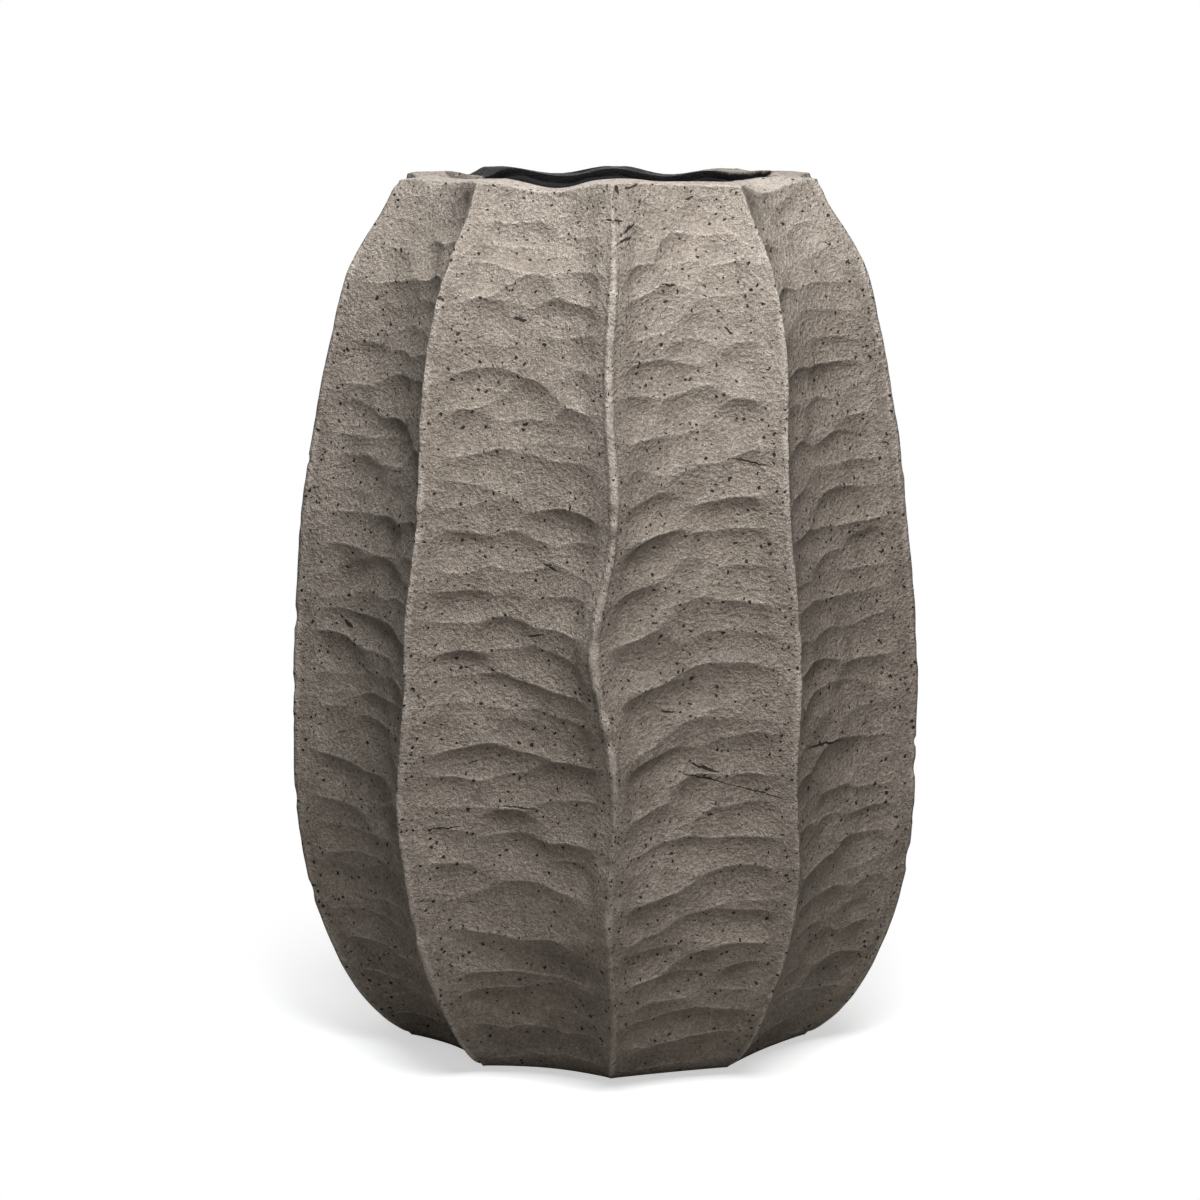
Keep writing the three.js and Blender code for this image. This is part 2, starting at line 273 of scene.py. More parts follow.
# Lamps: place, width and tint. All of them aim at one point in the pot.
LAMP_AIM = (0, 0, 0.25)
LAMPS = {
    "key": ((0.09, -0.422, 0.667), 0.35, (1, 1, 1)),
    "top": ((-0.041, -0.193, 0.655), 0.30, (0.92, 0.97, 1.0)),
    "back": ((-0.1, 1.5, 0.45), 0.70, (1, 1, 1)),
}
WHITE = (1, 1, 1, 1)


def length(name, description, default):
    return FloatProperty(
        name=name, description=description, default=default, unit="LENGTH", precision=4)


def factor(name, description, default, low=0):
    return FloatProperty(
        name=name, description=description, default=default, subtype="FACTOR", min=low, max=1)


def power(name, description, default):
    return FloatProperty(name=name, description=description, default=default, unit="POWER")


def colour(name, description, default):
    return FloatVectorProperty(
        name=name, description=description, default=default, subtype="COLOR", size=3, min=0, max=1)


class PotShape(bpy.types.PropertyGroup):
    """Sizes of the clay wall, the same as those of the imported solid."""

    foot_radius: length("Foot radius", "Radius of the ridges at the foot", 0.089)
    foot_edge: length("Foot edge", "Rounding of the foot's lower edge", 0.0015)
    foot_flare_out: length("Foot flare out", "How far the foot's curve pulls outwards", 0.0095)
    foot_flare_up: length("Foot flare up", "How far the foot's curve pulls upwards", 0.0025)
    belly_radius: length("Belly radius", "Radius of the ridges at the widest place", 0.135)
    belly_height: length("Belly height", "Height of the widest place", 0.119)
    belly_curve_below: length("Belly curve below", "Reach of the belly's curve downwards", 0.080)
    belly_curve_above: length("Belly curve above", "Reach of the belly's curve upwards", 0.079)
    shoulder_radius: length("Shoulder radius", "Radius of the ridges at the shoulder", 0.114)
    shoulder_drop: length("Shoulder drop", "How far the shoulder lies below the lip", 0.049)
    shoulder_curve_out: length("Shoulder curve out", "Reach of its curve outwards", 0.0114)
    shoulder_curve_down: length("Shoulder curve down", "Reach of its curve downwards", 0.0505)
    neck_curve_in: length("Neck curve in", "Reach of the neck's curve inwards", 0.0064)
    neck_curve_up: length("Neck curve up", "Reach of the neck's curve upwards", 0.0270)
    lip_radius: length("Lip radius", "Radius of the ridges at the lip", 0.090)
    lip_curve: length("Lip curve", "Reach of the curve below the lip", 0.0155)
    lip_lean: length("Lip lean", "How far that curve's start lies outside the lip", 0.0039)
    lip_edge: length("Lip edge", "Rounding of the lip's edges", 0.0010)
    lip_fall: length("Lip fall", "How far the lip's top falls outwards", 0.0006)
    lip_wave_depth: length("Lip wave depth", "How far below the lip its wave fades out", 0.045)
    belly_flute: length("Belly flute", "Depth of the flutes at the belly", 0.020)
    shoulder_flute: length("Shoulder flute", "Depth of the flutes at the shoulder", 0.017)
    lip_flute: length("Lip flute", "Depth of the flutes at the lip", 0.013)
    flute_fullness: factor("Flute fullness", "The less, the steeper the flutes' flanks", 0.75, 0.3)
    sway: length("Sway", "How far a ridge sways to and fro", 0.0013)
    sway_length: length("Sway length", "Height of one sway of a ridge", 0.105)
    lean: length("Lean", "How far the belly leans to one side", 0.0016)
    wall: length("Wall", "Thickness of the clay behind a flute", 0.013)
    floor: length("Floor", "Thickness of the clay floor", 0.015)
    floor_corner: length("Floor corner", "Rounding between inner wall and floor", 0.014)
    recess_radius: length("Recess radius", "Radius of the hollow under the foot", 0.046)
    recess_depth: length("Recess depth", "Depth of the hollow under the foot", 0.004)
    drain_radius: length("Drain radius", "Radius of the drain hole at the floor", 0.012)
    drain_taper: length("Drain taper", "How much the drain hole narrows downwards", 0.0015)
    inner_flute_share: factor("Inner flutes", "Depth of inner flutes beside the outer ones", 0.5)
    coat: length("Coat", "Thickness of the sealing coat", 0.0014)
    coat_gap: length("Coat gap", "Gap between coat and clay", 0.0004)
    coat_below_lip: length("Coat below lip", "How far the coat ends below the lip", 0.0022)


class PotCarving(bpy.types.PropertyGroup):
    """Sizes of the gouge cuts, the ridges' bead and the wall's unevenness."""

    seed: IntProperty(name="Seed", description="Start of the random draws", default=7)
    pitch: length("Pitch", "Usual height between rows of cuts", 0.0105)
    depth: length("Depth", "Usual depth of a cut", 0.0035)
    reach: length("Reach", "Usual height of a cut", 0.021)
    arch: length("Arch", "How far a cut's upper edge falls at its ends", 0.0030)
    plain_ridge: length("Plain ridge", "Strip beside a ridge in which the cuts run out", 0.013)
    plain_lip: length("Plain lip", "Least distance of the first row of cuts from the lip", 0.007)
    plain_foot: length("Plain foot", "Least height of a row of cuts at its upper edge", 0.020)
    bead: length("Bead", "How far the bead along a ridge stands out", 0.0014)
    bead_width: length("Bead width", "Half width of that bead", 0.0013)
    chip: length("Chip", "Depth of the chips along a ridge", 0.0008)
    corner: length("Corner", "Reach of the wear at a ridge's corner on the lip", 0.0050)
    corner_wear: length("Corner wear", "How far such a corner is worn back", 0.0011)
    unevenness: length("Unevenness", "Slow swelling of the hand-worked wall", 0.0008)
    roughness: length("Roughness", "Small lumps of the hand-worked wall", 0.0002)


class PotRubber(bpy.types.PropertyGroup):
    """Sizes of the rubber stopper and of the pads' edges."""

    gap: length("Gap", "Between the stopper and the clay or the coat", 0.0003)
    flange: length("Flange", "Thickness of the stopper's flange", 0.0035)
    flange_bevel: length("Flange bevel", "Slanted edge of the flange", 0.0017)
    stem: length("Stem", "Radius of the stem below the knob", 0.0055)
    stem_height: length("Stem height", "From the flange to the knob", 0.006)
    knob: length("Knob", "Radius of the knob", 0.010)
    rounding: length("Rounding", "Rounding of the stopper's edges", 0.00045)
    pad_bevel: length("Pad bevel", "Slanted lower edge of a pad", 0.0005)
    pad_rounding: length("Pad rounding", "Rounding of a pad's edges", 0.0002)


class PotFinish(bpy.types.PropertyGroup):
    """Colours of the finishes and of the floor."""

    clay: colour("Clay", "Fired grogged clay", (0.232, 0.196, 0.164))
    # The darker clay, which is also painted shade in the hollows of the cuts
    clay_deep: colour("Clay in hollows", "The same clay in the cuts", (0.142, 0.117, 0.096))
    # The paler clay: rubbed dust on ridges and lip, and also painted highlight on the crests between
    # cuts
    clay_pale: colour("Clay on edges", "Rubbed, dusty clay on the edges", (0.420, 0.372, 0.325))
    pit: colour("Pits", "Shade inside pinholes and drag marks", (0.016, 0.013, 0.011))
    coat: colour("Coat", "Black sealing coat", (0.0065, 0.0058, 0.0062))
    coat_worn: colour("Worn coat", "Thin places of the sealing coat", (0.014, 0.012, 0.0115))
    stopper: colour("Stopper", "Dark moulded rubber", (0.021, 0.021, 0.022))
    pad: colour("Pads", "Grey soft rubber", (0.110, 0.102, 0.092))
    floor: colour("Floor", "Pale studio floor", (0.800, 0.800, 0.800))
    floor_glow: factor("Floor glow", "White added to the floor that the camera sees", 0.55)
    floor_dim: colour("Dim floor", "The floor as it lights the pot", (0.45, 0.44, 0.42))


class PotStage(bpy.types.PropertyGroup):
    """Place of the camera and strength of the light."""

    camera_distance: length("Camera distance", "From the pot's axis, along the floor", 1.400)
    camera_height: length("Camera height", "Above the foot of the clay", 0.4261)
    camera_side: length("Camera side", "To the right of the pot's axis", -0.00345)
    camera_tilt: FloatProperty(
        name="Camera tilt", description="Downwards", default=math.radians(9.91), unit="ROTATION")
    camera_lens: FloatProperty(
        name="Camera lens", description="Focal length in millimetres", default=101.2)
    key_power: power("Key power", "Soft lamp close above the front", 4.5)
    top_power: power("Top power", "Soft lamp close above the lip", 2.0)
    back_power: power("Back power", "Wide lamp behind the pot", 14.0)
    surround: factor("Surround", "Even light from all round", 0.16)


def smooth_step(low, high, value):
    share = np.clip((value - low) / (high - low), 0, 1)
    return share * share * (3 - 2 * share)


def at_least(low, share):
    """Grows from low to 1 as share grows from 0 to 1."""
    return low + (1 - low) * share


def bell(value):
    return np.exp(-(value ** 2))


def bezier(start, pull, push, end, steps):
    """Points along one cubic curve."""
    t = np.linspace(0, 1, steps + 1)[:, None]
    weights = ((1 - t) ** 3, 3 * t * (1 - t) ** 2, 3 * t * t * (1 - t), t ** 3)
    return sum(weight * np.array(point) for weight, point in zip(weights, (start, pull, push, end)))


def quarter_turn(steps):
    """Angles along a rounding, without its first."""
    return np.linspace(0, np.pi / 2, steps + 1)[1:]


def ridge_outline(shape, steps=200):
    """The ridge outline from foot to lip, close together: radius, height and depth of the flutes."""
    shoulder = LIP - shape.shoulder_drop
    lip = LIP - shape.lip_fall - shape.lip_edge
    belly = (shape.belly_radius, shape.belly_height)
    curves = [
        ((shape.foot_radius, shape.foot_edge),
         (shape.foot_radius + shape.foot_flare_out, shape.foot_edge + shape.foot_flare_up),
         (shape.belly_radius, shape.belly_height - shape.belly_curve_below), belly),
        (belly, (shape.belly_radius, shape.belly_height + shape.belly_curve_above),
         (shape.shoulder_radius + shape.shoulder_curve_out, shoulder - shape.shoulder_curve_down),
         (shape.shoulder_radius, shoulder)),
        ((shape.shoulder_radius, shoulder),
         (shape.shoulder_radius - shape.neck_curve_in, shoulder + shape.neck_curve_up),
         (shape.lip_radius + shape.lip_lean, lip - shape.lip_curve), (shape.lip_radius, lip)),
    ]
    depths = (MEAN_FOOT_FLUTE, shape.belly_flute, shape.shoulder_flute, shape.lip_flute)
    parts = []
    for index, points in enumerate(curves):
        flute = np.linspace(depths[index], depths[index + 1], steps + 1)
        part = np.column_stack([bezier(*points, steps), flute])
        parts.append(part if index == 0 else part[1:])
    return np.vstack(parts)


def walked(outline):
    """Length along an outline up to each of its points."""
    steps = np.hypot(np.diff(outline[:, 0]), np.diff(outline[:, 1]))
    return np.concatenate([[0], np.cumsum(steps)])


def inner_wall(shape, outline, heights):
    """Radius and flute depth of the inner wall at any heights."""
    radius = np.interp(heights, outline[:, 1], outline[:, 0])
    flute = np.interp(heights, outline[:, 1], outline[:, 2])
    inner = flute * shape.inner_flute_share
    return radius - flute - shape.wall + inner, inner


def floor_rounding(shape, radius, flute, turn):
    """Radius, height and flute along the rounding from the inner wall to the floor."""
    reach = shape.floor_corner
    inwards = radius - reach * (1 - np.cos(turn))
    return inwards, shape.floor + reach * (1 - np.sin(turn)), flute * (1 - turn / (np.pi / 2))


def aside(shape, ridge, height):
    """How far a ridge lies aside of its even place at a height."""
    stray = STRAY[ridge] * bell((height - STRAY_AT[ridge]) / STRAY_REACH[ridge])
    sway = shape.sway * np.cos(2 * np.pi * (height - SWAY_AT[ridge]) / shape.sway_length)
    return SHIFT[ridge] + stray + sway


def flute_columns(counts, crowding):
    """Ridge number and share of the flute for each column, closer together near the ridges."""
    even = np.concatenate([np.arange(count) / count for count in counts])
    share = even - crowding * np.sin(2 * np.pi * even) / (2 * np.pi)
    return np.repeat(np.arange(len(RIDGES)), counts), share


def hand_cut(shape, radius, height, flute, hand, pressed, ridge, share):
    """Places of a turned surface, cut to the hand-made ridges: rows by columns by three.

    hand is 0 where the surface is turned true. pressed is 0 on the sharply cut outside and 1 on the
    inside, which is pressed to soft waves.
    """
    following = (ridge + 1) % len(RIDGES)
    wavy = np.sin(np.pi * share)
    sharp = wavy ** shape.flute_fullness
    soft = wavy ** 2
    sideways = (1 - share) * aside(shape, ridge, height) + share * aside(shape, following, height)
    angle = (ridge + share) * FLUTE_ANGLE + hand * sideways / shape.belly_radius
    lean = -shape.lean * np.sin(angle) * np.sin(np.pi * height / LIP)
    near_foot = np.clip(1 - height / shape.belly_height, 0, 1)
    foot_change = (FOOT_FLUTE[ridge] / MEAN_FOOT_FLUTE - 1) * near_foot
    depth = flute * (sharp + (soft - sharp) * pressed) * (1 + foot_change)
    over = smooth_step(0, 1, share)
    rise = LIP_RISE[ridge] + (LIP_RISE[following] - LIP_RISE[ridge]) * over
    drop = LIP_DROP[ridge] + (LIP_DROP[following] - LIP_DROP[ridge]) * over
    dip = LIP_DIP[ridge] + (INNER_DIP[ridge] - LIP_DIP[ridge]) * pressed
    wave = rise - pressed * drop - soft * dip
    near_lip = smooth_step(LIP - shape.lip_wave_depth, LIP, height)
    reach = radius - depth + hand * lean
    level = FOOT + height + hand * wave * near_lip
    return np.stack([reach * np.sin(angle), -reach * np.cos(angle), level], axis=-1)


def turned(points, columns, closed):
    """A profile of radius and height, turned about the upright axis, column by column."""
    bm = bmesh.new()
    verts = [bm.verts.new((0, -radius, height)) for radius, height in points]
    pairs = zip(verts, verts[1:] + verts[:1]) if closed else zip(verts, verts[1:])
    edges = [bm.edges.new(pair) for pair in pairs]
    bmesh.ops.spin(
        bm, geom=verts + edges, cent=(0, 0, 0), axis=(0, 0, 1), angle=2 * math.pi, steps=columns,
        use_merge=True)
    return bm


def finished(name, bm, material, node, body):
    """The bmesh as a named object that stands for a CAD node and moves with its body."""
    bmesh.ops.recalc_face_normals(bm, faces=bm.faces)
    mesh = bpy.data.meshes.new(name)
    bm.to_mesh(mesh)
    bm.free()
    mesh.polygons.foreach_set("use_smooth", np.ones(len(mesh.polygons), bool))
    mesh.materials.append(material)
    piece = bpy.data.objects.new(name, mesh)
    bpy.context.scene.collection.objects.link(piece)
    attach(piece, body)
    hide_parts(node)
    return piece


def move_verts(bm, places):
    """Moves the vertices of a turned profile to rows by columns of places."""
    bm.verts.ensure_lookup_table()
    for vert, place in zip(bm.verts, places.transpose(1, 0, 2).reshape(-1, 3)):
        vert.co = place


def paint(piece, name, values):
    """A value for each vertex that the materials read by name."""
    attribute = piece.data.attributes.new(name, "FLOAT", "POINT")
    column_by_column = np.ascontiguousarray(values.T.reshape(-1), dtype=np.float32)
    attribute.data.foreach_set("value", column_by_column)


def lumps(places, size, seed):
    """Smooth noise over places, about as wide as size, from -1 to 1."""
    shifted = places.reshape(-1, 3) / size + seed * LUMPS_APART
    values = np.array([noise.noise(Vector(point)) for point in shifted])
    return values.reshape(places.shape[:-1])


def outward(places):
    """Unit normals of a grid of rows by columns that closes round the pot."""
    across = np.roll(places, -1, axis=1) - np.roll(places, 1, axis=1)
    upward = np.gradient(places, axis=0)
    normal = np.cross(across, upward)
    return normal / np.maximum(np.linalg.norm(normal, axis=-1, keepdims=True), LEAST_LENGTH)


def gouge_cut(carving, draw, way, across, middle, start, half, slope):
    """Depth of one hollow cut: rows by columns. Past its edges it comes up out of the wall."""
    offset = (across - middle) / half
    arch = carving.arch * draw.uniform(*ARCH_SPREAD)
    size = carving.reach * draw.uniform(*REACH_SPREAD)
    bottom = carving.depth * draw.uniform(*DEPTH_SPREAD)
    deepest = draw.uniform(*DEEPEST)
    turns = draw.uniform(0, 2 * np.pi, len(EDGE_WAVES))
    waves = zip(EDGE_WAVES, turns)
    wobble = sum(high * np.sin(across / reach + turn) for (high, reach), turn in waves)
    upper = start - arch * offset ** 2 + slope * (across - middle) + wobble
    below = (upper - way[:, None]) / size
    room = np.where(below < deepest, deepest, 1 - deepest)
    return bottom * (1 - ((below - deepest) / room) ** 2 - offset ** 2)


def gouge_cuts(carving, way, width, ridge, share):
    """Depth of all gouge cuts, which meet each other in sharp edges: rows by columns.

    way is the length up the wall of each row and width that of a flute there.
    """
    draw = np.random.default_rng(carving.seed)
    depth = np.zeros((len(way), len(share)))
    often, spots, halves = zip(*ROW_KINDS)
    for flute in range(len(RIDGES)):
        across = (share[ridge == flute] - 0.5) * width[:, None]
        field = np.zeros(across.shape)
        pitch = carving.pitch * draw.uniform(*PITCH_SPREAD)
        top = way[-1] - carving.plain_lip - draw.uniform(0, pitch)
        while top > carving.plain_foot:
            span = np.interp(top, way, width)
            kind = draw.choice(len(ROW_KINDS), p=often)
            for spot in spots[kind]:
                middle = (spot + draw.uniform(-CUT_ASIDE, CUT_ASIDE)) * span
                half = span * halves[kind] * draw.uniform(*WIDTH_SPREAD)
                start = top + draw.uniform(-CUT_UP, CUT_UP) * pitch
                slope = SLANT[flute] + draw.uniform(-CUT_SLOPE, CUT_SLOPE) - CUT_FAN * middle / span
                cut = gouge_cut(carving, draw, way, across, middle, start, half, slope)
                np.maximum(field, cut, out=field)
            top -= pitch * draw.uniform(*STEP_SPREAD)
        for side in (-1, 1):
            start = way[-1] - draw.uniform(*FACET_BELOW)
            half = width[-1] * draw.uniform(*FACET_HALF)
            middle = side * width[-1] * draw.uniform(*FACET_ASIDE)
            slope = side * draw.uniform(*FACET_SLOPE)
            facet = gouge_cut(carving, draw, way, across, middle, start, half, slope)
            np.maximum(field, FACET_DEPTH * facet, out=field)
        depth[:, ridge == flute] = field
    return depth


def crowded_rows(way, depth):
    """Places of the rows along the wall for each column, closer at the sharp edges of cuts."""
    bent = np.abs(np.gradient(np.gradient(depth, axis=0), axis=0))
    reach = range(-CROWD_REACH, CROWD_REACH + 1)
    near = sum(np.roll(bent, step, axis=0) for step in reach) / len(reach)
    near = (np.roll(near, -1, axis=1) + near + np.roll(near, 1, axis=1)) / 3
    crowd = np.cumsum(1 + CROWDING * smooth_step(*CROWD_BENDS, near), axis=0)
    ends = np.linspace(0, len(way) - 1, WALL_BLOCKS + 1).astype(int)
    steps = np.arange(BLOCK_ROWS) / BLOCK_ROWS
    rows = np.full((WALL_ROWS, depth.shape[1]), way[-1])
    for column in range(depth.shape[1]):
        for block, (low, high) in enumerate(zip(ends, ends[1:])):
            part = crowd[low:high + 1, column]
            goal = part[0] + steps * (part[-1] - part[0])
            own = slice(block * BLOCK_ROWS, (block + 1) * BLOCK_ROWS)
            rows[own, column] = np.interp(goal, part, way[low:high + 1])
    return rows


def picked(rows, way, field):
    """A field known along way, read at the rows of each column."""
    columns = range(rows.shape[1])
    return np.column_stack([np.interp(rows[:, i], way, field[:, i]) for i in columns])


def nearest_ridge(ridge, share):
    return (ridge + (share > 0.5)) % len(RIDGES)


def ridge_chips(carving, rows, crest, ridge, share):
    """Depth of the small chips knocked out of the ridges: rows by columns."""
    draw = np.random.default_rng(carving.seed + 1)
    depth = np.zeros(crest.shape)
    nearest = nearest_ridge(ridge, share)
    side = np.where(share > 0.5, -crest, crest)
    for number in range(len(RIDGES)):
        for _ in range(CHIPS):
            size = draw.uniform(*CHIP_SIZE)
            middle = draw.uniform(CHIP_LOWEST, rows.max())
            up = (rows - middle) / (size * draw.uniform(*CHIP_STRETCH))
            over = (side - draw.uniform(-CHIP_ASIDE, CHIP_ASIDE)) / size
            hollow = np.clip(1 - up ** 2 - over ** 2, 0, 1)
            chip = hollow * carving.chip * draw.uniform(*CHIP_DEPTH)
            depth = np.maximum(depth, np.where(nearest == number, chip, 0))
    return depth


class CarvedWall:
    """The clay's outside as rows by columns.

    up and down are lengths along the wall from the foot and from the lip, stations the smooth
    radius, height and flute, crest the distance to the nearest ridge, cuts the depth of the cuts
    and edges how sharply they meet, which is painted as highlight on their crests and as shade in
    their hollows.
    """

    def __init__(self, carving, outline, ridge, share):
        length_up = walked(outline)
        way = np.linspace(0, length_up[-1], FINE_ROWS)
        width = np.interp(way, length_up, outline[:, 0]) * FLUTE_ANGLE
        crest = np.minimum(share, 1 - share) * width[:, None]
        cuts = gouge_cuts(carving, way, width, ridge, share)
        cuts *= smooth_step(CUT_CLEAR, carving.plain_ridge, crest)
        cuts *= at_least(LIP_CUTS, smooth_step(*LIP_CUTS_FADE, way[-1] - way))[:, None]
        # How the cuts bend: painted highlight on their crests, painted shade in their hollows
        beside = (np.roll(cuts, EDGE_LIGHT_STEP, axis=0) + np.roll(cuts, -EDGE_LIGHT_STEP, axis=0)) / 2
        self.up = crowded_rows(way, cuts)
        self.down = way[-1] - self.up
        self.stations = np.stack([np.interp(self.up, length_up, part) for part in outline.T])
        self.crest = picked(self.up, way, crest)
        self.cuts = picked(self.up, way, cuts)
        self.edges = picked(self.up, way, np.clip((beside - cuts) / EDGE_LIGHT_HEIGHT, -1, 1))

    def relief(self, carving, places, ridge, share):
        """How far the worked wall stands out, and how much its ridges are rubbed."""
        below_lip = smooth_step(*BEAD_FADE, self.down)
        bead = BEAD[nearest_ridge(ridge, share)]
        bead = bead * at_least(BEAD_LOW, smooth_step(*BEAD_GROWS, self.up))
        bead *= at_least(BEAD_AT_LIP, below_lip)
        wander = lumps(places, *BEAD_WANDER)
        width = carving.bead_width * (1 + BEAD_WIDTH_VARIES * wander)
        crest_line = bell(self.crest / width)
        raised = carving.bead * bead * crest_line
        raised *= 1 + BEAD_VARIES * lumps(places, *BEAD_LUMPS)
        raised += carving.unevenness * lumps(places, *SWELLING)
        raised += carving.roughness * lumps(places, *SMALL_LUMPS)
        raised -= np.maximum(self.cuts, ridge_chips(carving, self.up, self.crest, ridge, share))
        raised *= smooth_step(0, FOOT_FADE, self.up) * smooth_step(0, LIP_FADE, self.down)
        rubbed = crest_line ** 2 * (1 + BEAD_VARIES * wander) * at_least(RUBBED_AT_LIP, below_lip)
        return raised, rubbed

    def wear_corners(self, shape, carving, places):
        """Wears back the corners that the ridges make on the lip."""
        columns = places.shape[1]
        worn = np.vstack([
            1 - smooth_step(0, carving.corner, self.down),
            np.ones((EDGE_ROWS, columns)),
            np.repeat(np.linspace(1, 0, LIP_ROWS + 1)[1:, None], columns, axis=1),
        ]) * bell(self.crest[-1] / carving.corner)
        places[:LIP_END, :, :2] *= 1 - (worn * carving.corner_wear / shape.lip_radius)[..., None]
        places[:LIP_END, :, 2] -= worn ** 2 * carving.corner_wear / 2


def rim_and_inside(shape, outline):
    """Stations from the wall's top over the lip, down the inside and back under the foot.

    Each has radius, height and flute; then follow its hand and pressed, as hand_cut takes them.
    """
    edge_radius, edge_height, edge_flute = outline[-1]
    bend = shape.lip_edge
    inner_radius, inner_flute = inner_wall(shape, outline, np.array([LIP - bend]))
    turn = quarter_turn(EDGE_ROWS)
    edge = np.column_stack([
        edge_radius - bend * (1 - np.cos(turn)),
        edge_height + bend * np.sin(turn),
        np.full(EDGE_ROWS, edge_flute),
    ])
    crest = np.array([inner_radius[0] + bend, LIP, inner_flute[0]])
    over = np.linspace(0, 1, LIP_ROWS + 1)[1:, None]
    lip = edge[-1] * (1 - over) + crest * over
    inner_edge = np.column_stack([
        inner_radius[0] + bend * (1 - np.sin(turn)),
        LIP - bend * (1 - np.cos(turn)),
        np.full(EDGE_ROWS, inner_flute[0]),
    ])
    start = LIP - INNER_START
    drop = start - shape.floor - shape.floor_corner
    heights = start - drop * np.linspace(0, 1, INNER_ROWS) ** 2
    radius, flute = inner_wall(shape, outline, heights)
    inner = np.column_stack([radius, heights, flute])
    turn = quarter_turn(CORNER_ROWS)
    corner = np.column_stack(floor_rounding(shape, radius[-1], flute[-1], turn))
    true_turned = np.array([
        (shape.drain_radius, shape.floor, 0),
        (shape.drain_radius - shape.drain_taper, shape.recess_depth, 0),
        (shape.recess_radius - shape.recess_depth, shape.recess_depth, 0),
        (shape.recess_radius, 0, 0),
    ])
    foot = np.array([(shape.foot_radius - shape.foot_edge, 0, MEAN_FOOT_FLUTE)])
    inside = np.vstack([inner_edge, inner, corner])
    below = np.vstack([true_turned, foot])
    stations = np.vstack([edge, lip, inside, below])
    hand = np.ones(len(stations))
    hand[-len(below):-1] = 0
    pressed = np.concatenate([
        np.zeros(len(edge)), over[:, 0], np.ones(len(inside)), np.zeros(len(below))])
    return stations, hand, pressed


def coat_edge(azimuth):
    """How far the coat's brushed edge lies lower than elsewhere, for angles from the front."""
    return sum(
        depth * bell((azimuth - np.radians(angle)) / np.radians(half))
        for angle, half, depth in COAT_DIPS)


def coat_stain(places, heights, hand, pressed, azimuth):
    """Where the coat colours the clay: down the inside and on top of the far lip."""
    ragged = np.degrees(azimuth) + BLACK_RAGGED * lumps(places, *BLACK_LUMPS)
    black = smooth_step(*BLACK_STARTS, ragged) * (1 - smooth_step(*BLACK_ENDS, ragged))
    below = LIP - heights + STAIN_RAGGED * lumps(places, *STAIN_LUMPS)
    stain = smooth_step(*STAIN_FADE, below - coat_edge(azimuth)) * (pressed == 1)
    stain[WALL_ROWS + 1:] = np.maximum(stain, black * hand)[WALL_ROWS + 1:]
    stain[-1] = 0
    return stain


class FLOWERPOT_OT_clay_body(bpy.types.Operator):
    """Turns the clay wall, cuts its ridges and carves it with a gouge"""

    bl_idname = "flower_pot.clay_body"
    bl_label = "Carve clay body"

    def execute(self, context):
        shape = context.scene.flower_pot_shape
        carving = context.scene.flower_pot_carving
        outline = ridge_outline(shape)
        ridge, share = flute_columns(FLUTE_COLUMNS, RIDGE_CROWDING)
        columns = len(share)
        wall = CarvedWall(carving, outline, ridge, share)
        rest, hand, pressed = rim_and_inside(shape, outline)
        rest = np.repeat(rest.T[:, :, None], columns, axis=2)
        stations = np.concatenate([wall.stations, rest], axis=1)
        hand = np.concatenate([np.ones(WALL_ROWS), hand])[:, None]
        pressed = np.concatenate([np.zeros(WALL_ROWS), pressed])[:, None]
        places = hand_cut(shape, *stations, hand, pressed, ridge, share)
        raised, rubbed = wall.relief(carving, places[:WALL_ROWS], ridge, share)
        places[:WALL_ROWS] += outward(places)[:WALL_ROWS] * raised[..., None]
        lip_top = slice(WALL_ROWS + EDGE_ROWS, LIP_END)
        places[lip_top, :, 2] += LIP_UNEVEN * lumps(places[lip_top], *LIP_LUMPS)
        wall.wear_corners(shape, carving, places)
        bm = turned(stations[:2, :, 0].T, columns, True)
        move_verts(bm, places)
        material = clay_material(context.scene.flower_pot_finish)
        piece = finished("carved_clay_body", bm, material, "clay_body", "pot")
        # Paler rubbed ridges and lip, with painted highlight on the cuts' crests and painted shade
        # in their hollows
        wear = np.zeros(places.shape[:2])
        wear[:WALL_ROWS] = wall.edges + rubbed
        wear[WALL_ROWS:LIP_END] = LIP_WEAR
        strip = np.zeros(places.shape[:2])
        strip[:WALL_ROWS] = 1 - smooth_step(*STRIP_FADE, wall.crest)
        azimuth = (ridge + share) * FLUTE_ANGLE
        paint(piece, "ridge_strip", strip)
        paint(piece, "edge_wear", wear)
        paint(piece, "coat_stain", coat_stain(places, stations[1], hand, pressed, azimuth))
        return {"FINISHED"}


